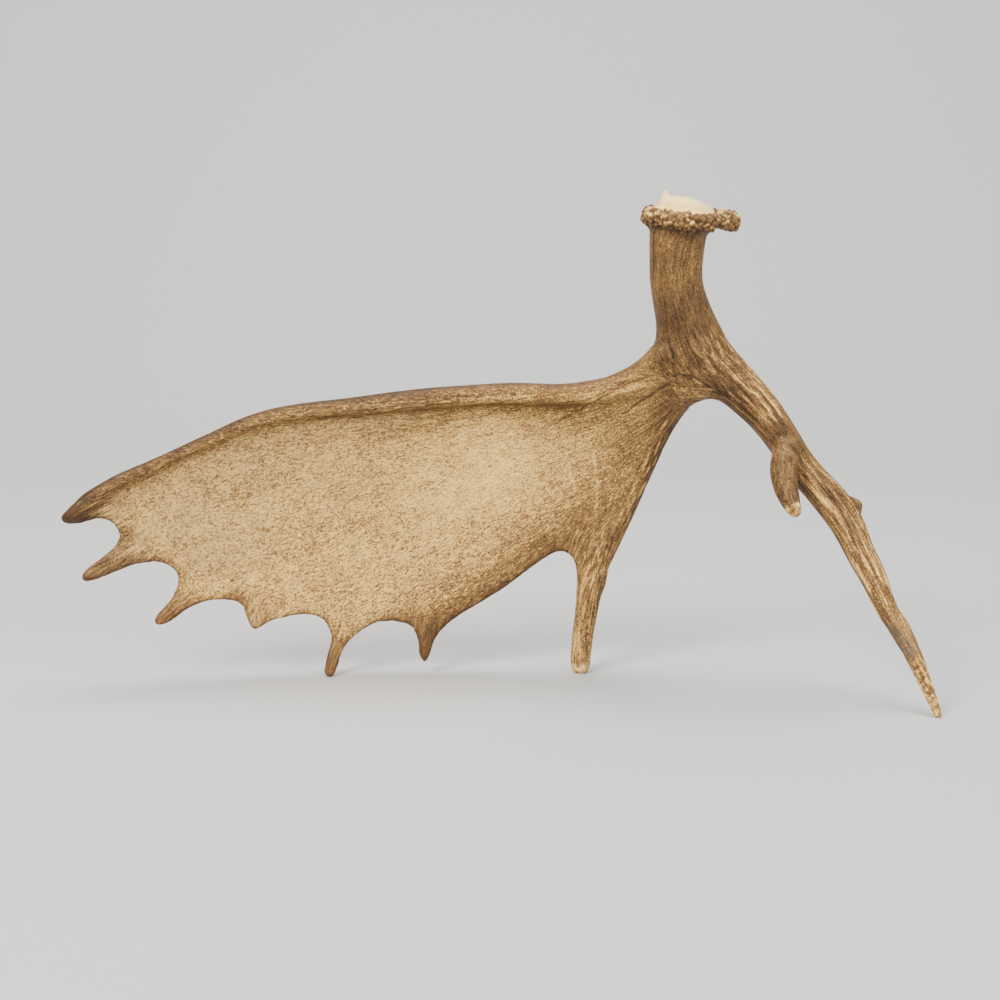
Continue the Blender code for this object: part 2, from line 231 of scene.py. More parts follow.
lightSetup = {
    # name: place, size, watts, colour, aimed at
    "key": ((-1.6, -2.0, 2.3), 1.6, 150.0, (1.0, 0.94, 0.85), (0.0, 0.0, 0.15)),
    "fill": ((2.2, -1.9, 1.2), 1.8, 51.0, (1.0, 0.98, 0.95), (0.0, 0.0, 0.15)),
    "top": ((0.1, 0.5, 2.6), 1.6, 77.0, (1.0, 0.97, 0.92), (0.0, 0.0, 0.15)),
}
worldSetup = {
    "colour": (0.86, 0.84, 0.80, 1.0),
    "strength": 1.02,
}


def makeLights():
    for name, (place, size, watts, colour, target) in lightSetup.items():
        aim = (Vector(target) - Vector(place)).to_track_quat("-Z", "Y").to_euler()
        bpy.ops.object.light_add(type="AREA", location=place, rotation=aim)
        lamp = bpy.context.object
        lamp.name = name
        lamp.data.shape = "DISK"
        lamp.data.size = size
        lamp.data.energy = watts
        lamp.data.color = colour
    world = bpy.data.worlds.new("studio")
    world.use_nodes = True
    background = world.node_tree.nodes["Background"]
    background.inputs["Color"].default_value = worldSetup["colour"]
    background.inputs["Strength"].default_value = worldSetup["strength"]
    bpy.context.scene.world = world


makeFloor()
makeLights()
print("studio ready")


# the antler's body, from the frame's own pieces

bodySetup = {
    "overlap": 0.0003,          # each piece swells this much so that they fuse over the saw cuts
    "firstVoxel": 0.0015,
    "firstRounds": 22,
    "skinVoxel": 0.00082,
    "skinRounds": 3,
    # places where the limbs flow into each other: x, z, inner and outer reach, rounds
    "ease": [(0.154, 0.290, 0.050, 0.085, 60), (0.089, 0.078, 0.010, 0.026, 40)],
}


def mergedCopy(name):
    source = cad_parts[name]
    copy = bpy.data.objects.new("copy_" + name, source.data.copy())
    bpy.context.scene.collection.objects.link(copy)
    makeActive(copy)
    bpy.ops.object.mode_set(mode="EDIT")
    bpy.ops.mesh.select_all(action="SELECT")
    bpy.ops.mesh.remove_doubles(threshold=0.00001)
    bpy.ops.mesh.customdata_custom_splitnormals_clear()
    bpy.ops.object.mode_set(mode="OBJECT")
    copy.data.materials.clear()
    return copy


def joinAll(objects, name):
    deselectAll()
    for obj in objects:
        obj.select_set(True)
    bpy.context.view_layer.objects.active = objects[0]
    bpy.ops.object.join()
    joined = bpy.context.object
    joined.name = name
    joined.data.name = name
    return joined


def easeJoins(obj):
    points = readPoints(obj)
    edges = readEdges(obj)
    for x, z, near, far, rounds in bodySetup["ease"]:
        pull = 0.5 * smoothStep(far, near, np.hypot(points[:, 0] - x, points[:, 2] - z))[:, None]
        for _ in range(rounds):
            points += pull * (neighbourMean(points, edges) - points)
    writePoints(obj, points)


def makeBody():
    copies = [mergedCopy(name) for name in cadNodes]
    for copy in copies:
        nodePoints[copy.name[5:]] = readPoints(copy)
        writePoints(copy, readPoints(copy) + bodySetup["overlap"] * readNormals(copy))
    body = joinAll(copies, "antlerBody")
    applyModifier(body, "REMESH", mode="VOXEL", voxel_size=bodySetup["firstVoxel"])
    relax(body, bodySetup["firstRounds"])
    easeJoins(body)
    return body


nodePoints = {}
body = makeBody()
print("body fused", len(body.data.vertices))


# the burr: pearls around the ring

burrSetup = {
    "belowTop": 0.0225,         # the ring's middle under the tip of the seal's spike
    "axis": (0.06, -0.06, 1.0),
    "bandHeight": 0.0075,
    "insideRadius": 0.0300,
    "spacing": 0.0034,
    "pearl": (0.0012, 0.0027),
    "pearlScale": (0.75, 1.35),
    "pearlHeight": (0.95, 1.5),
    "sink": 0.38,
    "seed": 11,
}
burrAxis = np.array(burrSetup["axis"]) / np.linalg.norm(burrSetup["axis"])


def findBurr(points):
    # the middle of the ring, from the widest slice under the seal
    level = cadBox[1][2] - burrSetup["belowTop"]
    ring = points[np.abs(points[:, 2] - level) < 0.004]
    middle = 0.5 * (ring.min(axis=0) + ring.max(axis=0))
    middle[2] = level
    return middle


def burrPlace(points):
    # height over the ring's plane and distance from the burr's axis
    rel = points - burrMiddle
    height = rel @ burrAxis
    radius = np.linalg.norm(rel - height[:, None] * burrAxis, axis=1)
    return height, radius


def makePearls(body):
    s = burrSetup
    points = readPoints(body)
    normals = readNormals(body)
    height, radius = burrPlace(points)
    outward = points - burrMiddle - height[:, None] * burrAxis
    facing = np.sum(normals * outward, axis=1) / np.maximum(radius, 1e-6)
    band = (height > -s["bandHeight"]) & (height < 0.8 * s["bandHeight"]) & (radius > s["insideRadius"])
    band &= (facing > 0.15) | (height > 0.0)            # not on the ring's underside
    candidates = np.flatnonzero(band).tolist()
    draw = random.Random(s["seed"])
    draw.shuffle(candidates)
    places = []
    for index in candidates:
        spot = Vector(points[index])
        if all((spot - other[0]).length > s["spacing"] * other[2] for other in places):
            places.append((spot, Vector(normals[index]), draw.uniform(*s["pearlScale"])))
    pearls = []
    for spot, normal, size in places:
        r = float(np.interp(size, s["pearlScale"], s["pearl"]))
        middle = spot - s["sink"] * r * normal
        deselectAll()
        bpy.ops.mesh.primitive_ico_sphere_add(subdivisions=2, radius=r, location=middle,
                                              scale=(1.0, 1.0, draw.uniform(*s["pearlHeight"])))
        pearls.append(bpy.context.object)
        pearlSpots.append(middle)
        pearlSizes.append(r)
    print("pearls", len(pearls))
    return pearls


pearlSpots, pearlSizes = [], []
burrMiddle = findBurr(readPoints(body))
body = joinAll([body] + makePearls(body), "antlerBody")
bpy.ops.object.transform_apply(location=True, rotation=True, scale=True)
applyModifier(body, "REMESH", mode="VOXEL", voxel_size=bodySetup["skinVoxel"])
relax(body, bodySetup["skinRounds"])
pearlTree = treeOf(np.array(pearlSpots))
print("skin", len(body.data.vertices))


# where a point lies: fan of the palm, length of a limb, distance to a border

mapSetup = {
    "fork": (0.162, 0.262),             # x, z where the palm's fibres start
    "fanRadius": 0.30,
    "fanBend": 0.3,                     # the fibres flatten outwards
    "lineStep": 0.002,
    "palmBlend": (-0.010, 0.022),       # from limb to fan across the palm's root
    "innerBox": (0.02, 0.17),           # the inner tine's fibres lie right of x and under z
    "innerBlend": (0.165, 0.100),       # heights over which they run out into the palm
    "innerReach": (0.046, 0.026),       # and distances from their middle line
    "prongBlend": (0.001, 0.007),
}
# small points of the palm: tip x, z and root x, z
palmPoints = [
    ((-0.356, 0.145), (-0.295, 0.172)),
    ((-0.342, 0.092), (-0.285, 0.122)),
    ((-0.285, 0.050), (-0.240, 0.088)),
    ((-0.207, 0.045), (-0.195, 0.075)),
    ((-0.142, 0.002), (-0.122, 0.062)),
    ((-0.060, 0.014), (-0.052, 0.060)),
]


def middleLine(points, direction, count):
    # centres of a limb's slices across a direction
    along = points @ np.array(direction)
    marks = np.linspace(along.min(), along.max(), count + 1)
    line = []
    for low, high in zip(marks[:-1], marks[1:]):
        part = points[(along >= low) & (along <= high)]
        line.append(0.5 * (part.min(axis=0) + part.max(axis=0)))
    return np.array(line)


def smoothLine(line, rounds=3):
    # even steps along a line whose corners are rounded first
    for _ in range(rounds):
        line = np.vstack((line[:1], 0.25 * line[:-2] + 0.5 * line[1:-1] + 0.25 * line[2:], line[-1:]))
    lengths = np.concatenate(([0.0], np.cumsum(np.linalg.norm(np.diff(line, axis=0), axis=1))))
    steps = np.arange(0.0, lengths[-1], mapSetup["lineStep"])
    return np.column_stack([np.interp(steps, lengths, line[:, c]) for c in range(3)])


def besideLine(points, line):
    # straightened place beside a line: across, through and along, and the length left to its end
    index, _ = nearest(treeOf(line), points)
    tangent = np.gradient(line, axis=0)
    tangent /= np.linalg.norm(tangent, axis=1)[:, None]
    side = np.cross(tangent, (0.0, 1.0, 0.0))
    side /= np.linalg.norm(side, axis=1)[:, None]
    through = np.cross(side, tangent)
    rel = points - line[index]
    ahead = np.sum(rel * tangent[index], axis=1)
    along = index * mapSetup["lineStep"] + ahead
    place = np.column_stack((np.sum(rel * side[index], axis=1), np.sum(rel * through[index], axis=1), along))
    return place, (len(line) - 1) * mapSetup["lineStep"] - along


def makeLines(points, label):
    # middle lines of the limbs, each from its root to its tip
    part = {name: points[label == i] for i, name in enumerate(cadNodes)}
    beamLine = middleLine(part["beam"], (0.0, 0.0, -1.0), 14)[2:11]
    browLine = middleLine(part["brow_tine"], (0.62, -0.25, -0.74), 20)[1:]
    innerLine = middleLine(part["inner_tine"], (0.0, 0.0, -1.0), 8)
    fork = np.array([[mapSetup["fork"][0], beamLine[-1, 1], mapSetup["fork"][1]]])
    innerRoot = innerLine[:1] + np.array([[0.008, 0.0, 0.045]])
    prongLine = middleLine(part["brow_prong"], (0.1, -0.6, -0.8), 6)
    prongRoot = prongLine[:1] + np.array([[0.002, 0.016, 0.018]])
    lines = {
        "main": smoothLine(np.vstack((beamLine, browLine))),
        "inner": smoothLine(np.vstack((fork, innerRoot, innerLine))),
        "prong": smoothLine(np.vstack((prongRoot, prongLine))),
    }
    flat = treeOf(part["palm"] * (1.0, 0.0, 1.0))
    for k, ends in enumerate(palmPoints):
        ends = np.array([(x, 0.0, z) for x, z in reversed(ends)])
        index, _ = nearest(flat, ends)
        ends[:, 1] = part["palm"][index, 1]
        lines["point%d" % k] = smoothLine(np.vstack((ends[:1], ends.mean(axis=0)[None], ends[1:])))
    return lines


def findBorders(points, normals, label):
    # the palm's border, and its parts: the long top edge, the right edge and the arch
    edge = (label == cadNodes.index("palm")) & (np.abs(normals[:, 1]) < 0.35)
    columns = np.round(points[:, 0] / 0.003).astype(int)
    columns -= columns.min()
    highest = np.full(columns.max() + 1, -1.0)
    np.maximum.at(highest, columns, points[:, 2])
    onTop = edge & (points[:, 2] > highest[columns] - 0.010) & (points[:, 0] < 0.13)
    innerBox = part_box("inner_tine")
    left, right = innerBox[0][0], innerBox[1][0]
    rightEdge = edge & (normals[:, 0] > 0.3) & (points[:, 0] > 0.5 * (left + right))
    arch = edge & (points[:, 0] > left - 0.13) & (points[:, 0] < left + 0.012) & ~onTop & ~rightEdge
    return {"any": edge, "top": onTop, "right": rightEdge, "arch": arch}


skinPoints = readPoints(body)
nodeTree = treeOf(np.vstack([nodePoints[name] for name in cadNodes]))
nodeOf = np.concatenate([np.full(len(nodePoints[name]), i) for i, name in enumerate(cadNodes)])
skinLabel = nodeOf[nearest(nodeTree, skinPoints)[0]]
limbLines = makeLines(skinPoints, skinLabel)
borders = findBorders(skinPoints, readNormals(body), skinLabel)
borderTrees = {name: treeOf(skinPoints[chosen][::2]) for name, chosen in borders.items()}
print("lines and borders found")


def findCut(first, second):
    # plane between two frame pieces that face each other over a saw cut
    index, gap = nearest(treeOf(nodePoints[second]), nodePoints[first])
    rim = nodePoints[first][gap < 0.0006]
    centre = rim.mean(axis=0)
    normal = np.linalg.svd(rim - centre)[2][2]
    if (nodePoints[second].mean(axis=0) - centre) @ normal < 0:
        normal = -normal
    return centre, normal, np.linalg.norm(rim - centre, axis=1).max()


cuts = {
    "palmRoot": findCut("beam", "palm"),
    "browRoot": findCut("beam", "brow_tine"),
    "innerRoot": findCut("palm", "inner_tine"),
    "prongRoot": findCut("brow_tine", "brow_prong"),
}


def placesOf(points, normals):
    # everything the relief and the colours need to know about each point
    s = mapSetup
    m = {}
    label = nodeOf[nearest(nodeTree, points)[0]]
    for i, name in enumerate(cadNodes):
        m[name] = label == i
    m["points"] = points
    m["front"] = smoothStep(0.25, -0.25, normals[:, 1])
    m["down"] = smoothStep(-0.1, -0.8, normals[:, 2])
    m["upward"] = normals[:, 2]
    fx, fz = s["fork"]
    r = np.hypot(points[:, 0] - fx, points[:, 2] - fz)
    turn = np.arctan2(fz - points[:, 2], fx - points[:, 0])
    across = turn * s["fanRadius"] * (r / s["fanRadius"]) ** s["fanBend"]
    m["r"] = r
    m["turn"] = turn
    m["fan"] = np.column_stack((r, across, points[:, 1]))
    flatBone = m["palm"] | m["inner_tine"]
    for name, tree in borderTrees.items():
        m["to_" + name] = np.full(len(points), 1.0)
        m["to_" + name][flatBone] = nearest(tree, points[flatBone])[1]
    centre, normal, _ = cuts["palmRoot"]
    intoPalm = (points - centre) @ normal
    limb = np.zeros((len(points), 3))
    left = np.full(len(points), 1.0)
    mix = np.where(flatBone, 1.0 - smoothStep(*s["palmBlend"], intoPalm), 1.0)
    chosen = mix > 0.0
    limb[chosen], left[chosen] = besideLine(points[chosen], limbLines["main"])
    m["main"] = chosen & ~m["brow_prong"]
    innerLeft, innerTop = s["innerBox"]
    inner = flatBone & (points[:, 0] > innerLeft) & (points[:, 2] < innerTop) & ~chosen
    away = np.full(len(points), 1.0)
    away[inner] = nearest(treeOf(limbLines["inner"]), points[inner])[1]
    inner &= away < s["innerReach"][0]
    limb[inner], left[inner] = besideLine(points[inner], limbLines["inner"])
    mix[inner] = smoothStep(*s["innerBlend"], points[inner, 2])
    mix[inner] *= smoothStep(*s["innerReach"], away[inner])
    m["inner"] = inner
    m["prong"] = m["brow_prong"]
    limb[m["prong"]], left[m["prong"]] = besideLine(points[m["prong"]], limbLines["prong"])
    prongCentre, prongNormal, prongRadius = cuts["prongRoot"]
    offset = points - prongCentre
    m["clearOfProng"] = np.where(np.linalg.norm(offset, axis=1) < prongRadius + 0.004,
                                 smoothStep(*s["prongBlend"], np.abs(offset @ prongNormal)), 1.0)
    m["smallPoint"] = np.zeros(len(points), dtype=bool)
    for k, (tip, root) in enumerate(palmPoints):
        reach = math.dist(tip, root)
        near = m["palm"] & (np.hypot(points[:, 0] - tip[0], points[:, 2] - tip[1]) < 1.1 * reach) & ~inner
        limb[near], left[near] = besideLine(points[near], limbLines["point%d" % k])
        mix[near] = np.maximum(mix[near], 1.0 - smoothStep(0.45 * reach, 1.0 * reach, left[near]))
        m["smallPoint"] |= near
    m["limb"] = limb
    m["left"] = left
    m["mix"] = mix
    m["ringHeight"], m["ringRadius"] = burrPlace(points)
    # smoother bone: the neck, the prong and where they join
    m["calm"] = 0.75 * m["main"] * smoothStep(0.125, 0.075, limb[:, 2]) + 0.6 * m["prong"]
    m["calm"] = np.maximum(m["calm"], 0.8 * near2d(points, (0.235, 0.212), 0.020) * m["front"])
    m["calm"] = np.maximum(m["calm"], 0.5 * near2d(points, (0.163, 0.252), 0.022))
    return m


# relief: furrows, grooves, pits

palmRelief = {
    "valley": (0.13, 0.0095, 0.03),         # wavelengths out along the fan, across it and through the palm
    "fine": (0.024, 0.0036, 0.02),
    "valleyDepth": 0.00038,
    "fineHeight": 0.00012,
    "waveHeight": 0.0006,
    "waveLength": 0.055,
}
limbRelief = {
    "big": (0.0085, 0.0085, 0.110),         # wavelengths across, through and along the limb
    "small": (0.0036, 0.0036, 0.085),
    "cells": (0.0023, 0.0023, 0.042),
    "pit": (0.0026, 0.0026, 0.0052),
    "bend": (0.03, 0.03, 0.05),
    "bendWidth": 0.0022,
    "bigDepth": 0.00060,
    "smallDepth": 0.00033,
    "cellHeight": 0.00028,
    "pitDepth": 0.00035,
}
rimRelief = {
    # distance from the top edge, strength, and the x where the groove starts and ends
    "grooves": [(0.0024, 0.6, -0.34, 0.13), (0.0050, 0.7, -0.30, 0.10), (0.0080, 0.4, -0.26, 0.11),
                (0.0112, 0.35, -0.20, 0.03)],
    "depth": 0.00045,
    "halfWidth": 0.0008,
    "wobble": 0.0012,
    "breaks": 0.022,
}
edgeRelief = {
    # distance from the right edge and strength
    "grooves": [(0.0030, 0.7), (0.0065, 0.9), (0.0100, 0.8), (0.0145, 0.6)],
    "ridges": [0.0048, 0.0083, 0.0123],
    "depth": 0.00065,
    "ridgeHeight": 0.00045,
    "halfWidth": 0.0008,
    "ridgeHalfWidth": 0.0009,
    "wobble": 0.0012,
}
burrRelief = {
    "grain": 0.0021,
    "coarse": 0.0062,
    "sealGrain": 0.00022,
    "ringGrain": 0.00012,
    "coarseHeight": 0.00045,
    "gapDepth": 0.00030,
    "litPatch": 0.007,
    "sealRadius": (0.0312, 0.0290),
    "sealHeights": (0.0015, 0.0045),
    "sealEdge": 0.0024,
    "sealEdgeLength": 0.0038,
}
# dark grooves on the hollow face: depth and half width in mm, then x, z from the fork outwards
faceGrooves = [
    (0.35, 0.6, [(0.062, 0.248), (0.025, 0.243), (-0.011, 0.237), (-0.043, 0.228), (-0.096, 0.211)]),
    (0.55, 0.9, [(0.133, 0.264), (0.119, 0.261), (0.098, 0.250), (0.077, 0.234), (0.040, 0.212)]),
    (0.50, 0.8, [(0.120, 0.263), (0.107, 0.256), (0.086, 0.245), (0.071, 0.238)]),
    (0.70, 1.1, [(0.150, 0.259), (0.131, 0.247), (0.116, 0.236), (0.105, 0.223)]),
    (0.30, 0.6, [(-0.026, 0.243), (-0.071, 0.237), (-0.137, 0.229), (-0.180, 0.217)]),
    (0.22, 0.6, [(0.031, 0.2475), (-0.019, 0.247), (-0.097, 0.2385), (-0.137, 0.2345)]),
    (0.30, 0.6, [(0.000, 0.2425), (-0.050, 0.2365), (-0.115, 0.2285), (-0.160, 0.2165)]),
    (1.60, 1.4, [(0.151, 0.262), (0.155, 0.2635), (0.160, 0.263)]),
    (0.70, 1.1, [(0.149, 0.2555), (0.157, 0.255)]),
    (0.40, 0.8, [(0.143, 0.296), (0.148, 0.280), (0.150, 0.267)]),
    (0.20, 3.2, [(0.170, 0.260), (0.195, 0.248), (0.212, 0.231), (0.227, 0.217)]),
    (0.35, 0.9, [(0.163, 0.2385), (0.172, 0.2435), (0.183, 0.2460)]),
    (0.60, 0.9, [(0.1295, 0.384), (0.1295, 0.366), (0.130, 0.345)]),
]
# pale raised veins on the hollow face: half width in mm, then x, z
faceVeins = [
    (1.3, [(0.085, 0.193), (0.087, 0.178), (0.092, 0.156), (0.086, 0.133), (0.086, 0.119)]),
    (1.0, [(0.062, 0.186), (0.068, 0.170), (0.070, 0.156)]),
    (0.9, [(0.178, 0.299), (0.192, 0.275), (0.214, 0.251), (0.228, 0.233)]),
    (0.8, [(0.172, 0.297), (0.186, 0.271), (0.207, 0.247), (0.220, 0.230)]),
    (0.8, [(0.185, 0.299), (0.199, 0.277), (0.219, 0.255), (0.233, 0.238)]),
    (0.8, [(0.102, 0.160), (0.097, 0.138), (0.092, 0.115), (0.089, 0.085)]),
    (0.8, [(0.096, 0.128), (0.090, 0.105), (0.085, 0.070)]),
    (0.7, [(0.040, 0.124), (0.027, 0.114), (0.014, 0.106)]),
]
# main furrows on the outer face, laid out the same way as the grooves
backGrooves = [
    (0.8, 1.2, [(0.140, 0.255), (0.090, 0.238), (0.020, 0.222), (-0.070, 0.205), (-0.170, 0.180)]),
    (0.7, 1.1, [(0.138, 0.246), (0.085, 0.214), (0.020, 0.180), (-0.060, 0.147), (-0.150, 0.118)]),
    (0.8, 1.2, [(0.142, 0.240), (0.100, 0.196), (0.050, 0.150), (-0.005, 0.105)]),
    (0.6, 1.0, [(0.150, 0.235), (0.120, 0.180), (0.096, 0.130), (0.085, 0.085)]),
    (0.5, 0.9, [(0.050, 0.236), (-0.040, 0.228), (-0.140, 0.207)]),
]


def grooveDistance(points, route):
    # distance in the x, z plane to a smoothed route, and how far along it the foot lies, 0 to 1
    line = smoothLine(np.array([(x, 0.0, z) for x, z in route]), 1)[:, ::2]
    line = np.vstack((line[::3], line[-1:]))
    best = np.full(len(points), 1.0)
    along = np.zeros(len(points))
    flat = points[:, ::2]
    for i, (a, b) in enumerate(zip(line[:-1], line[1:])):
        step = b - a
        t = np.clip((flat - a) @ step / max(step @ step, 1e-12), 0.0, 1.0)
        d = np.linalg.norm(flat - a - t[:, None] * step, axis=1)
        closer = d < best
        best[closer] = d[closer]
        along[closer] = (i + t[closer]) / (len(line) - 1)
    return best, along


def valleys(coords, sharp, seed):
    # narrow valleys between broad ridges, 0 to 1
    return np.clip(1.0 - sharp * np.abs(noiseAt(coords, seed)), 0.0, 1.0) ** 1.4


def onBurr(m):
    return smoothStep(-0.012, -0.004, m["ringHeight"]) * m["beam"]


def sealMask(m):
    s = burrRelief
    edge = s["sealEdge"] * waves(m["points"], s["sealEdgeLength"], 21.0)
    inside = smoothStep(*s["sealRadius"], m["ringRadius"] + edge)
    return inside * smoothStep(*s["sealHeights"], m["ringHeight"])


def palmFibres(m, height, dark, light):
    s = palmRelief
    fanPart = 1.0 - m["mix"]
    wide = valleys(m["fan"] / s["valley"], 3.6, 3.7)
    fine = waves(m["fan"], s["fine"], 2.1)
    strength = 0.16 + 0.85 * fadeOut(m["r"], 0.070)         # strongest by the fork and at the edges
    strength += 0.9 * fadeOut(m["to_right"], 0.020) + 0.5 * fadeOut(m["to_arch"], 0.022)
    height -= fanPart * strength * s["valleyDepth"] * wide
    height += fanPart * (0.35 + strength) * s["fineHeight"] * fine
    height += fanPart * s["waveHeight"] * waves(m["points"], s["waveLength"], 14.1)
    dark += fanPart * np.clip(strength, 0.0, 0.9) * (0.32 * wide + 0.25 * share(-fine))
    light += fanPart * np.clip(strength, 0.0, 1.2) * 0.5 * share(fine)


def limbFurrows(m, height, dark, light):
    s = limbRelief
    limb = m["limb"]
    neck = m["main"] * (1.0 - smoothStep(0.075, 0.125, limb[:, 2]))
    brow = m["main"] * smoothStep(0.085, 0.150, limb[:, 2])
    lowerInner = m["inner"] * smoothStep(0.075, 0.035, m["points"][:, 2])
    bend = s["bendWidth"] * waves(limb, s["bend"], 5.3)
    bent = limb + np.column_stack((bend, -bend, np.zeros(len(bend))))
    big = valleys(bent / s["big"], 3.4, 5.0)
    small = valleys(bent / s["small"], 2.4, 11.6)
    cells = waves(bent, s["cells"], 4.4)

    # smooth neck, prong and points: the furrows grip less there
    grip = m["mix"] * smoothStep(0.0, 0.020, m["left"]) * (1.0 - onBurr(m)) * m["clearOfProng"]
    grip *= 1.0 - 0.68 * neck - 0.35 * lowerInner
    grip *= np.where(m["smallPoint"], 0.55, 1.0) * np.where(m["prong"], 0.5, 1.0)
    grip *= (1.0 - 0.35 * m["inner"]) * (1.0 - 0.6 * m["calm"])
    height -= grip * (s["bigDepth"] * big + s["smallDepth"] * small)
    height += grip * s["cellHeight"] * cells
    dark += grip * (0.38 * big + 0.40 * small + 0.40 * share(-cells))
    # painted highlight: the limbs are lighter where they face up and towards the right
    paintedTopLight = smoothStep(0.2, 0.9, m["points"][:, 0] / 0.3 + 0.9 * m["upward"])
    light += grip * (1.0 - big) * (1.0 - small) * (0.12 + 0.16 * paintedTopLight + 0.75 * share(2.4 * cells - 0.25))

    # pits on the neck, the prong and the lower half of the inner tine
    pits = smoothStep(0.22, 0.50, waves(bent, s["pit"], 9.1)) * m["mix"] * (1.0 - onBurr(m))
    pits *= share(0.35 * neck + 1.0 * lowerInner + 0.7 * m["prong"] + 0.25 * brow)
    height -= s["pitDepth"] * pits
    dark += 0.8 * pits


def rimGrooves(m, height, dark):
    # a few grooves that keep to the rolled top edge
    s = rimRelief
    x = m["points"][:, 0]
    flat = np.zeros(len(x))
    wobble = noiseAt(np.column_stack((x / 0.045, m["to_top"] / 0.02, m["front"])), 3.3)
    toTop = m["to_top"] + s["wobble"] * wobble
    rimPart = (1.0 - m["mix"]) * smoothStep(0.135, 0.100, x)
    for k, (offset, strength, start, end) in enumerate(s["grooves"]):
        fade = smoothStep(start, start + 0.06, x) * smoothStep(end, end - 0.05, x)
        broken = 0.45 + 0.95 * noiseAt(np.column_stack((x / s["breaks"], flat + 1.7 * k, flat)), 6.6)
        line = rimPart * strength * bell(toTop, offset, s["halfWidth"]) * fade * share(broken)
        height -= s["depth"] * line
        dark += 0.34 * line


def edgeGrooves(m, height, dark, light):
    # the thick right edge is grooved along its length, with pale ridges between
    s = edgeRelief
    points = m["points"]
    toRight = m["to_right"] + s["wobble"] * waves(points, 0.030, 10.4)
    for offset, strength in s["grooves"]:
        line = strength * bell(toRight, offset, s["halfWidth"]) * (1.0 - 0.8 * m["mix"])
        line *= smoothStep(-0.35, 0.25, waves(points, 0.022, 100.0 * offset))
        height -= s["depth"] * line
        dark += 0.75 * line
    for offset in s["ridges"]:
        line = bell(toRight, offset, s["ridgeHalfWidth"]) * (1.0 - m["mix"])
        line *= smoothStep(-0.2, 0.3, waves(points, 0.018, 90.0 * offset))
        height += s["ridgeHeight"] * line
        light += 0.8 * line


def singleLines(m, height, dark, light):
    # grooves and veins laid one by one, with a slight tremble
    points = m["points"]
    flat = np.zeros(len(points))
    shift = 0.0009 * waves(points, 0.014, 8.2)
    moved = points + np.column_stack((shift, flat, -shift))
    moved += 0.0014 * np.column_stack((waves(points, 0.007, 71.0), flat, waves(points, 0.007, 73.0)))
    for grooves, facing in ((faceGrooves, m["front"]), (backGrooves, 1.0 - m["front"])):
        for depth, width, route in grooves:
            route = np.array(route)
            near = np.ones(len(points), dtype=bool)
            for axis, column in ((0, 0), (2, 1)):
                near &= points[:, axis] > route[:, column].min() - 0.01
                near &= points[:, axis] < route[:, column].max() + 0.01
            d, along = grooveDistance(moved[near], route)
            taper = smoothStep(-0.05, 0.20, along) * (1.0 - 0.75 * smoothStep(0.45, 1.0, along))
            line = bell(d, 0.0, 0.001 * width) * taper * facing[near]
            height[near] -= 0.001 * depth * line
            dark[near] += (0.45 + 0.6 * depth) * line
    veinBreaks = m["front"] * smoothStep(-0.45, 0.15, waves(points, 0.008, 61.0))
    for width, route in faceVeins:
        line = bell(grooveDistance(moved, np.array(route))[0], 0.0, 0.001 * width) * veinBreaks
        height += 0.00025 * line
        light += 0.42 * line


def burrGrain(m, height, dark, light):
    # grainy seal, painted shade in the gaps between the pearls, and pearls a little paler with painted
    # highlights on the upward-facing tops of some
    s = burrRelief
    points = m["points"]
    grain = waves(points, s["grain"], 12.7)
    coarse = waves(points, s["coarse"], 2.9)
    seal = m["beam"] * sealMask(m)
    height += seal * (s["sealGrain"] * grain + s["coarseHeight"] * coarse)
    height += (onBurr(m) - seal) * s["ringGrain"] * grain
    pores = smoothStep(0.25, 0.55, -grain) * (0.4 + 0.6 * smoothStep(0.022, 0.029, m["ringRadius"]))
    dark += 0.55 * seal * pores
    ring = m["beam"] * smoothStep(-0.012, -0.007, m["ringHeight"]) * (1.0 - seal)
    on = ring > 0.0
    index, gap = nearest(pearlTree, points[on])
    ratio = gap / np.array(pearlSizes)[index]               # 1 on a pearl, more between pearls
    # painted highlight: pale patches where the pearls face up
    lit = smoothStep(-0.15, 0.45, waves(points[on], s["litPatch"], 51.0))
    lit *= smoothStep(-0.3, 0.5, m["upward"][on])
    # painted shade in the gaps between the pearls, plus darker grain
    dark[on] += ring[on] * (0.7 * smoothStep(1.12, 1.60, ratio) + 0.5 * share(-grain[on]))
    light[on] += ring[on] * smoothStep(1.30, 0.95, ratio) * (0.10 + 1.15 * lit)
    height[on] += ring[on] * (s["coarseHeight"] * coarse[on] - s["gapDepth"] * smoothStep(1.10, 1.60, ratio))


def relief(m):
    # height in metres, and how much darker and lighter the bone is there, painted shade and highlights
    # included
    height, dark, light = (np.zeros(len(m["points"])) for _ in range(3))
    palmFibres(m, height, dark, light)
    limbFurrows(m, height, dark, light)
    rimGrooves(m, height, dark)
    edgeGrooves(m, height, dark, light)
    singleLines(m, height, dark, light)
    burrGrain(m, height, dark, light)
    return height, np.clip(dark, 0.0, 1.5), share(light)


# soft swellings that round the outline: x, z, reach and height
swellings = [(0.185, 0.291, 0.015, 0.0026), (0.129, 0.282, 0.016, 0.0026), (0.200, 0.268, 0.018, 0.0014),
             (-0.060, 0.018, 0.009, 0.0018)]
# ends that touch the table: x and the height over which they are rounded
roundEnds = [(0.074, 0.0065), (0.355, 0.0050), (-0.142, 0.0050)]
sealShape = {
    "drop": 0.0090,                     # how far the seal slopes down to the right
    "dropAcross": (-0.004, 0.028),
    "spikeReach": (0.008, 0.002),
    "spikePinch": 0.34,
}


def shapeSeal(points, m):
    s = sealShape
    drop = s["drop"] * sealMask(m) * m["beam"] * smoothStep(0.002, 0.010, m["ringHeight"])
    drop *= smoothStep(*s["dropAcross"], m["points"][:, 0] - burrMiddle[0])
    points -= drop[:, None] * burrAxis
    tip = points[points[:, 2].argmax()].copy()
    pinch = s["spikePinch"] * smoothStep(*s["spikeReach"], np.linalg.norm(points - tip, axis=1))
    points[:, :2] -= pinch[:, None] * (points[:, :2] - tip[:2])


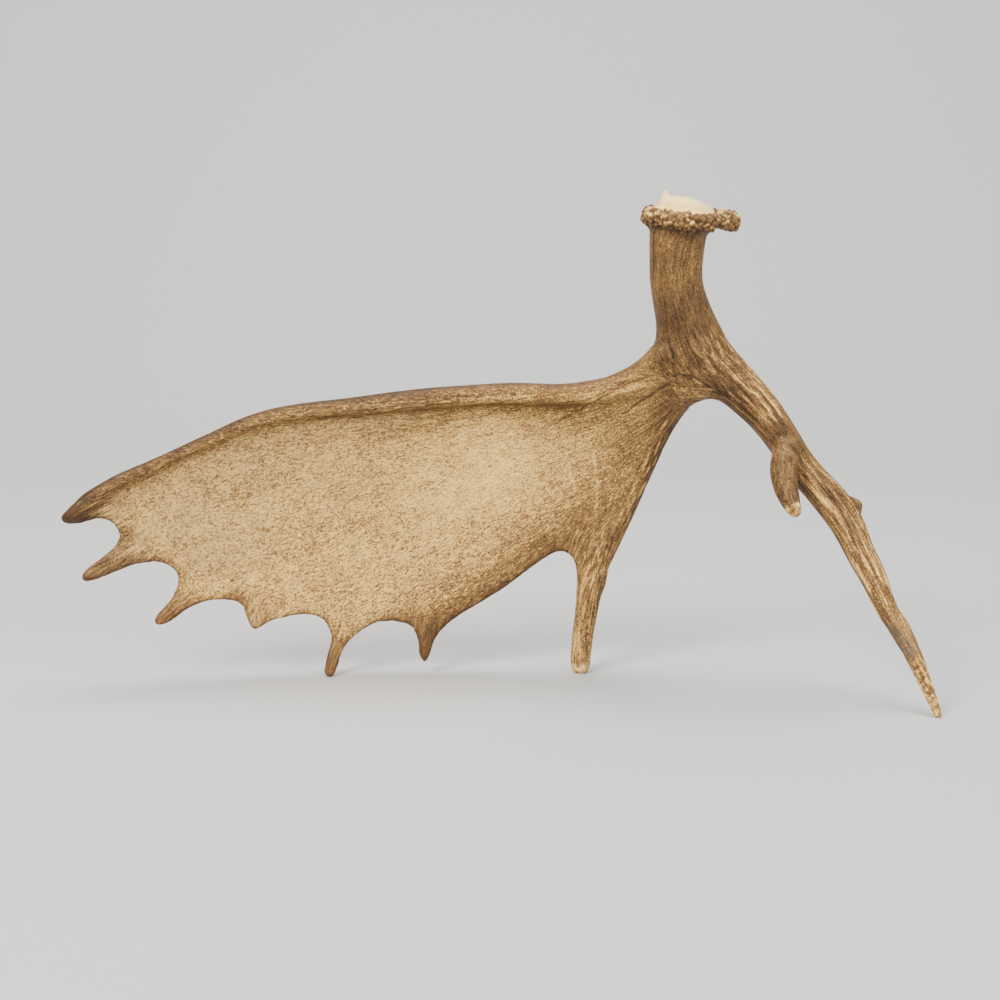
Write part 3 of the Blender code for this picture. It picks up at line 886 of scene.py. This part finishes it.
def shapeEnds(points):
    for x, reach in roundEnds:
        low = (points[:, 2] < reach) & (np.abs(points[:, 0] - x) < 0.030)
        if low.any():
            middle = points[low, :2].mean(axis=0)
            inward = np.sqrt(1.0 - 0.62 * share((reach - points[low, 2]) / reach) ** 2)[:, None]
            points[low, :2] = middle + (points[low, :2] - middle) * inward
    points[:, 2] = np.maximum(points[:, 2], 0.0)


def carve(body):
    points = readPoints(body)
    normals = readNormals(body)
    m = placesOf(points, normals)
    height = relief(m)[0]
    for x, z, reach, swell in swellings:
        height += swell * near2d(points, (x, z), reach)
    points = points + height[:, None] * normals
    shapeSeal(points, m)
    shapeEnds(points)
    writePoints(body, points)


carve(body)
print("relief carved")


# split at the forks, thinned and capped

pieceTriangles = {"palm": 192000, "beam": 125000, "inner_tine": 26000, "brow_tine": 125000}
splitAt = ("palmRoot", "browRoot", "innerRoot")


def splitAtForks(body):
    makeActive(body)
    for name in splitAt:
        centre, normal, radius = cuts[name]
        bpy.ops.object.mode_set(mode="EDIT")
        bpy.ops.mesh.select_mode(type="VERT")
        bpy.ops.mesh.select_all(action="DESELECT")
        bpy.ops.object.mode_set(mode="OBJECT")
        points = readPoints(body)
        rel = points - centre
        near = (np.linalg.norm(rel, axis=1) < radius + 0.006) & (np.abs(rel @ normal) < 0.006)
        body.data.vertices.foreach_set("select", near)
        bpy.ops.object.mode_set(mode="EDIT")
        bpy.ops.mesh.select_mode(type="FACE")
        bpy.ops.mesh.bisect(plane_co=centre, plane_no=normal, threshold=0.00001)
        bpy.ops.mesh.edge_split(type="EDGE")
        bpy.ops.object.mode_set(mode="OBJECT")
    bpy.ops.object.mode_set(mode="EDIT")
    bpy.ops.mesh.select_all(action="SELECT")
    bpy.ops.mesh.separate(type="LOOSE")
    bpy.ops.object.mode_set(mode="OBJECT")
    loose = sorted(bpy.context.selected_objects, key=lambda obj: -len(obj.data.vertices))
    print("loose parts", [len(obj.data.vertices) for obj in loose][:8])
    for scrap in loose[len(pieceTriangles):]:
        bpy.data.objects.remove(scrap)
    pieces = {}
    for obj in loose[:len(pieceTriangles)]:
        points = readPoints(obj)[::7]
        label = nodeOf[nearest(nodeTree, points)[0]]
        name = cadNodes[np.bincount(label).argmax()]
        obj.name = "bone_" + name
        obj.data.name = "bone_" + name
        pieces[name] = obj
    return pieces


def thinAndCap(obj, target):
    points = readPoints(obj)
    nearCut = np.zeros(len(points), dtype=bool)
    for centre, normal, radius in (cuts[name] for name in splitAt):
        rel = points - centre
        nearCut |= (np.abs(rel @ normal) < 0.0025) & (np.linalg.norm(rel, axis=1) < radius + 0.006)
    triangles = sum(len(face.vertices) - 2 for face in obj.data.polygons)
    if triangles > target:
        group = obj.vertex_groups.new(name="free")
        group.add(np.flatnonzero(~nearCut).tolist(), 1.0, "REPLACE")
        applyModifier(obj, "DECIMATE", ratio=target / triangles, vertex_group="free",
                      use_collapse_triangulate=True)
        obj.vertex_groups.clear()
    makeActive(obj)
    bpy.ops.object.mode_set(mode="EDIT")
    bpy.ops.mesh.select_mode(type="EDGE")
    bpy.ops.mesh.select_all(action="DESELECT")
    bpy.ops.mesh.select_non_manifold(extend=False, use_wire=False, use_multi_face=False,
                                     use_non_contiguous=False, use_verts=False)
    bpy.ops.mesh.mark_sharp()
    bpy.ops.mesh.fill()
    bpy.ops.mesh.select_all(action="SELECT")
    bpy.ops.mesh.normals_make_consistent(inside=False)
    bpy.ops.object.mode_set(mode="OBJECT")
    obj.data.shade_smooth()
    print(obj.name, "faces", len(obj.data.polygons))


pieces = splitAtForks(body)
for name, piece in pieces.items():
    thinAndCap(piece, pieceTriangles[name])


# colour maps kept on the points

def storeMap(obj, name, values):
    kind = "FLOAT_VECTOR" if values.ndim == 2 else "FLOAT"
    attribute = obj.data.attributes.new(name, kind, "POINT")
    field = "vector" if values.ndim == 2 else "value"
    attribute.data.foreach_set(field, np.ascontiguousarray(values, dtype=np.float32).ravel())


# how brown the bone is, 0 pale to 1 deep brown
toneSetup = {
    "palm": 0.32,
    "limb": 0.53,
    "inner": 0.57,
    "prong": 0.66,
    "wornEnd": 0.37,
    # browner or paler spots: x, z, reach and amount; the palm's first two are painted light, a broad pale
    # pool over its upper middle
    "palmSpotsAndPaintedLight": [(-0.010, 0.205, 0.090, -0.15), (0.000, 0.215, 0.055, -0.09), (-0.309, 0.129, 0.010, 0.16),
                  (-0.345, 0.148, 0.022, 0.14), (-0.203, 0.050, 0.022, -0.24)],
    "limbSpots": [(0.150, 0.305, 0.026, 0.20), (0.283, 0.162, 0.018, 0.10)],
    # where an end starts to be worn and where it is worn through, from its tip
    "browWear": (0.045, 0.029),
    "innerWear": (0.0040, 0.0010),
    "prongWear": (0.0030, 0.0002),
    "greySpots": [(0.3255, 0.0585, 0.0085, 1.0), (0.3335, 0.0500, 0.0080, 1.0)],
    "rustSpots": [(0.329, 0.067, 0.008, 1.0), (0.340, 0.058, 0.0065, 1.0), (0.342, 0.043, 0.008, 0.8)],
}


def spots(points, places):
    return sum(amount * near2d(points, (x, z), reach) for x, z, reach, amount in places)


def brownOfPalm(m):
    s = toneSetup
    x = m["points"][:, 0]
    brown = s["palm"] + 0.15 * bell(m["to_any"], 0.0, 0.0035)
    brown += (0.12 + 0.20 * smoothStep(0.05, -0.10, x)) * bell(m["to_top"], 0.0, 0.010)
    brown += 0.10 * fadeOut(m["to_top"], 0.020)
    # painted light: a paler band under the rim offsets the shade of its rolled edge
    brown -= 0.15 * bell(m["to_top"], 0.016, 0.006) * smoothStep(0.13, 0.08, x) * smoothStep(-0.12, -0.04, x)
    brown += 0.24 * fadeOut(m["to_right"], 0.018) + 0.36 * fadeOut(m["to_arch"], 0.024)
    brown += 0.14 * smoothStep(0.55, 0.95, m["turn"]) * smoothStep(0.34, 0.12, m["r"])      # lower right
    # spots on the palm, and painted light over its upper middle
    brown += spots(m["points"], s["palmSpotsAndPaintedLight"])
    return brown + m["smallPoint"] * 0.32 * smoothStep(0.048, 0.0, m["left"])


def brownOfLimbs(m, brownPalm):
    s = toneSetup
    points = m["points"]
    along = m["limb"][:, 2]
    # painted highlight: upward-facing parts of the brow tine are paler
    paintedTopLight = smoothStep(0.1, 0.8, m["upward"]) * smoothStep(0.10, 0.16, along)
    brown = s["limb"] + m["main"] * (0.07 * smoothStep(0.125, 0.075, along) - 0.09 * paintedTopLight
                                     - 0.06 * smoothStep(0.24, 0.33, along))
    brown += spots(points, s["limbSpots"])
    brown = np.where(m["inner"], s["inner"] - 0.11 * smoothStep(0.075, 0.035, points[:, 2]), brown)
    brown = np.where(m["prong"], s["prong"], brown)
    brown += 0.17 * near2d(points, (0.236, 0.210), 0.024) * m["front"] * (m["main"] & (along > 0.1))
    return np.where(m["smallPoint"], brownPalm, brown)


def ashenPart(m):
    # the greyer outer third of the palm and the strip under its rim
    points = m["points"]
    x = points[:, 0]
    outer = 0.95 * smoothStep(-0.10, -0.27, x) * smoothStep(-0.7, 0.4, waves(points, 0.05, 41.0))
    strip = 0.75 * bell(m["to_top"], 0.022, 0.014) * smoothStep(0.00, -0.10, x)
    patch = 0.5 * near2d(points, (-0.15, 0.19), 0.06)
    return m["palm"] * np.maximum.reduce((outer, strip, patch))


def greyPart(m):
    # the grey patch near the brow tine's end, and grey specks along its right side
    points = m["points"]
    patch = np.maximum.reduce([spots(points, [spot]) for spot in toneSetup["greySpots"]])
    patch *= m["front"] * smoothStep(-0.7, 0.2, waves(points, 0.005, 5.0))
    specks = m["brow_tine"] * smoothStep(0.004, 0.008, m["limb"][:, 0]) * bell(m["left"], 0.066, 0.020)
    specks *= smoothStep(0.0, 0.4, waves(points, 0.0035, 43.0))
    return share(patch + 0.5 * specks)


def rustPart(m):
    points = m["points"]
    rust = spots(points, toneSetup["rustSpots"]) + 0.22 * m["palm"] * fadeOut(m["to_any"], 0.004)
    rust += 0.5 * m["smallPoint"] * smoothStep(0.035, 0.005, m["left"])
    rust += 0.5 * m["palm"] * smoothStep(0.1, 0.6, waves(points, 0.03, 17.0)) * fadeOut(m["to_any"], 0.02)
    return share(rust)


def paintMaps(obj):
    s = toneSetup
    points = readPoints(obj)
    m = placesOf(points, readNormals(obj))
    _, dark, light = relief(m)
    seal = m["beam"] * sealMask(m)
    brownPalm = brownOfPalm(m)
    brown = brownPalm * (1.0 - m["mix"]) + brownOfLimbs(m, brownPalm) * m["mix"]
    ring = m["beam"] * smoothStep(-0.014, -0.008, m["ringHeight"])
    brown -= 0.18 * ring * smoothStep(0.0365, 0.0425, m["ringRadius"])
    # painted shade: downward-facing surfaces are browner
    brown += 0.14 * m["down"] * (1.0 - seal)

    # the seal is bare pale bone, and the ends of the points are worn light
    spot = 0.006 * waves(points, 0.006, 31.0)
    streak = 0.012 * waves(m["limb"], (0.004, 0.004, 0.03), 33.0)
    browEnd = m["main"] * smoothStep(*s["browWear"], m["left"] + spot + streak)
    innerEnd = m["inner"] * smoothStep(*s["innerWear"], m["left"] + 0.3 * spot)
    prongEnd = m["prong"] * smoothStep(*s["prongWear"], m["left"] + 0.3 * spot)
    worn = np.maximum.reduce((browEnd, innerEnd, prongEnd))
    brown += worn * (s["wornEnd"] + 0.40 * waves(points, 0.0045, 35.0) - brown)
    dark += 0.9 * browEnd * smoothStep(0.25, 0.5, waves(points, 0.0034, 37.0))

    maps = {"fan": m["fan"], "limb": m["limb"], "mix": m["mix"], "brown": brown, "dark": dark, "light": light,
            "pale": np.maximum(seal, 0.25 * innerEnd), "grey": greyPart(m), "ashen": ashenPart(m),
            "rust": rustPart(m), "calm": share(m["calm"])}
    for name, values in maps.items():
        storeMap(obj, name, values)


for piece in pieces.values():
    paintMaps(piece)
print("maps stored")


# the bone material

boneSetup = {
    # tone along the ramp and its colour
    "ramp": [
        (0.00, (0.98, 0.65, 0.195)),
        (0.30, (0.58, 0.355, 0.108)),
        (0.48, (0.255, 0.136, 0.041)),
        (0.68, (0.120, 0.062, 0.023)),
        (0.88, (0.060, 0.031, 0.012)),
        (1.00, (0.026, 0.014, 0.006)),
    ],
    "cream": (0.96, 0.73, 0.30, 1.0),
    "grey": (0.082, 0.069, 0.056, 1.0),
    "rust": (0.20, 0.090, 0.026, 1.0),
    "ashen": (0.38, 0.272, 0.135, 1.0),
    "fineStreak": ((0.0046, 0.0014), (0.020, 0.0014)),      # length and width, on the palm and on a limb
    "streak": ((0.040, 0.0058), (0.050, 0.0046)),
    "grainSize": 0.0014,
    # how much each layer moves the tone on pale bone and on brown bone
    "layers": {"fine": (0.90, 1.10), "medium": (0.20, 0.26), "cloud": (0.22, 0.26), "patch": (0.24, 0.20),
               "grain": (1.30, 0.75)},
    "darkShare": 0.34,
    "lightShare": 0.42,
    "speck": (0.30, 0.17, 0.06, 1.0),
    "creamShade": (0.22, 0.12, 0.045, 1.0),
    "roughness": (0.52, 0.74),
    "bump": 0.55,
    "bumpDepth": 0.0009,
    "specular": 0.18,
}


def boneMaterial():
    material = bpy.data.materials.new("antlerBone")
    material.use_nodes = True
    tree = material.node_tree
    shader = tree.nodes["Principled BSDF"]
    s = boneSetup

    def link(source, target):
        tree.links.new(source, target)

    def attribute(name, vector=False):
        node = tree.nodes.new("ShaderNodeAttribute")
        node.attribute_name = name
        return node.outputs["Vector"] if vector else node.outputs["Fac"]

    def value(socket, source):
        if isinstance(source, (int, float)):
            socket.default_value = source
        else:
            link(source, socket)

    def maths(operation, a, b=0.0, clamp=False):
        node = tree.nodes.new("ShaderNodeMath")
        node.operation = operation
        node.use_clamp = clamp
        value(node.inputs[0], a)
        value(node.inputs[1], b)
        return node.outputs[0]

    def mixValue(factor, a, b):
        node = tree.nodes.new("ShaderNodeMix")
        value(node.inputs["Factor"], factor)
        value(node.inputs["A"], a)
        value(node.inputs["B"], b)
        return node.outputs["Result"]

    def mixColour(factor, a, b):
        node = tree.nodes.new("ShaderNodeMix")
        node.data_type = "RGBA"
        value(node.inputs["Factor"], factor)
        for socket, source in ((node.inputs[6], a), (node.inputs[7], b)):
            if isinstance(source, tuple):
                socket.default_value = source
            else:
                link(source, socket)
        return node.outputs[2]

    def noiseOn(vector, scale, detail=2.0, rough=0.5):
        mapping = tree.nodes.new("ShaderNodeMapping")
        mapping.inputs["Scale"].default_value = scale
        link(vector, mapping.inputs["Vector"])
        node = tree.nodes.new("ShaderNodeTexNoise")
        node.inputs["Scale"].default_value = 1.0
        node.inputs["Detail"].default_value = detail
        node.inputs["Roughness"].default_value = rough
        link(mapping.outputs["Vector"], node.inputs["Vector"])
        return maths("SUBTRACT", node.outputs["Fac"], 0.5)

    def remap(source, low, high, toLow=0.0, toHigh=1.0):
        node = tree.nodes.new("ShaderNodeMapRange")
        node.interpolation_type = "SMOOTHSTEP"
        value(node.inputs["Value"], source)
        node.inputs["From Min"].default_value = low
        node.inputs["From Max"].default_value = high
        node.inputs["To Min"].default_value = toLow
        node.inputs["To Max"].default_value = toHigh
        return node.outputs["Result"]

    where = tree.nodes.new("ShaderNodeTexCoord").outputs["Object"]
    fan = attribute("fan", True)
    limb = attribute("limb", True)
    mix = attribute("mix")
    brown = attribute("brown")

    def streaks(sizes, detail):
        (length, width), (limbLength, limbWidth) = sizes
        onFan = noiseOn(fan, (1 / length, 1 / width, 1 / width), detail)
        onLimb = noiseOn(limb, (1 / limbWidth, 1 / limbWidth, 1 / limbLength), detail)
        return mixValue(mix, onFan, onLimb)

    fine = streaks(s["fineStreak"], 2.0)
    medium = streaks(s["streak"], 3.0)
    cloud = noiseOn(where, (1 / 0.045,) * 3, 3.0)
    patch = noiseOn(where, (1 / 0.012,) * 3, 2.0)
    grain = noiseOn(where, (1 / s["grainSize"],) * 3, 2.0, 0.6)

    strong = remap(brown, 0.25, 0.75)                    # brown bone is streakier than pale bone
    tone = brown
    fine = maths("MULTIPLY", fine, mixValue(attribute("calm"), 1.0, 0.45))
    layers = {"fine": fine, "medium": medium, "cloud": cloud, "patch": patch, "grain": grain}
    for name, (onPale, onBrown) in s["layers"].items():
        tone = maths("ADD", tone, maths("MULTIPLY", layers[name], mixValue(strong, onPale, onBrown)))
    tone = maths("ADD", tone, maths("MULTIPLY", attribute("dark"), s["darkShare"]))
    tone = maths("SUBTRACT", tone, maths("MULTIPLY", attribute("light"), s["lightShare"]), clamp=True)

    ramp = tree.nodes.new("ShaderNodeValToRGB")
    elements = ramp.color_ramp.elements
    elements[0].position, elements[1].position = s["ramp"][0][0], s["ramp"][-1][0]
    elements[0].color = (*s["ramp"][0][1], 1.0)
    elements[1].color = (*s["ramp"][-1][1], 1.0)
    for position, colour in s["ramp"][1:-1]:
        elements.new(position).color = (*colour, 1.0)
    link(tone, ramp.inputs["Fac"])

    colour = mixColour(maths("MULTIPLY", attribute("rust"), 0.6), ramp.outputs["Color"], s["rust"])
    ashenTone = mixColour(maths("ADD", tone, 0.2, clamp=True), s["ashen"], ramp.outputs["Color"])
    colour = mixColour(maths("MULTIPLY", attribute("ashen"), 0.7), colour, ashenTone)
    colour = mixColour(maths("MULTIPLY", attribute("grey"), 0.85), colour, s["grey"])
    speck = remap(maths("ADD", grain, maths("MULTIPLY", fine, 0.7)), 0.10, 0.26)
    creamTone = mixColour(maths("MULTIPLY", speck, 0.45), s["cream"], s["speck"])
    creamTone = mixColour(maths("MULTIPLY", attribute("dark"), 0.5), creamTone, s["creamShade"])
    colour = mixColour(attribute("pale"), colour, creamTone)
    link(colour, shader.inputs["Base Color"])

    low, high = s["roughness"]
    link(remap(maths("ADD", tone, fine), 0.1, 0.9, high, low), shader.inputs["Roughness"])
    shader.inputs["Specular IOR Level"].default_value = s["specular"]

    heightSum = maths("ADD", fine, maths("MULTIPLY", grain, 0.6))
    bump = tree.nodes.new("ShaderNodeBump")
    bump.inputs["Strength"].default_value = s["bump"]
    bump.inputs["Distance"].default_value = s["bumpDepth"]
    link(heightSum, bump.inputs["Height"])
    link(bump.outputs["Normal"], shader.inputs["Normal"])
    return material


bone = boneMaterial()
standsFor = {"brow_tine": ("brow_tine", "brow_prong")}      # grown together, so one piece shows both
for name, piece in pieces.items():
    piece.data.materials.clear()
    piece.data.materials.append(bone)
    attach(piece, "root")
    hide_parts(*standsFor.get(name, (name,)))
print("material on")
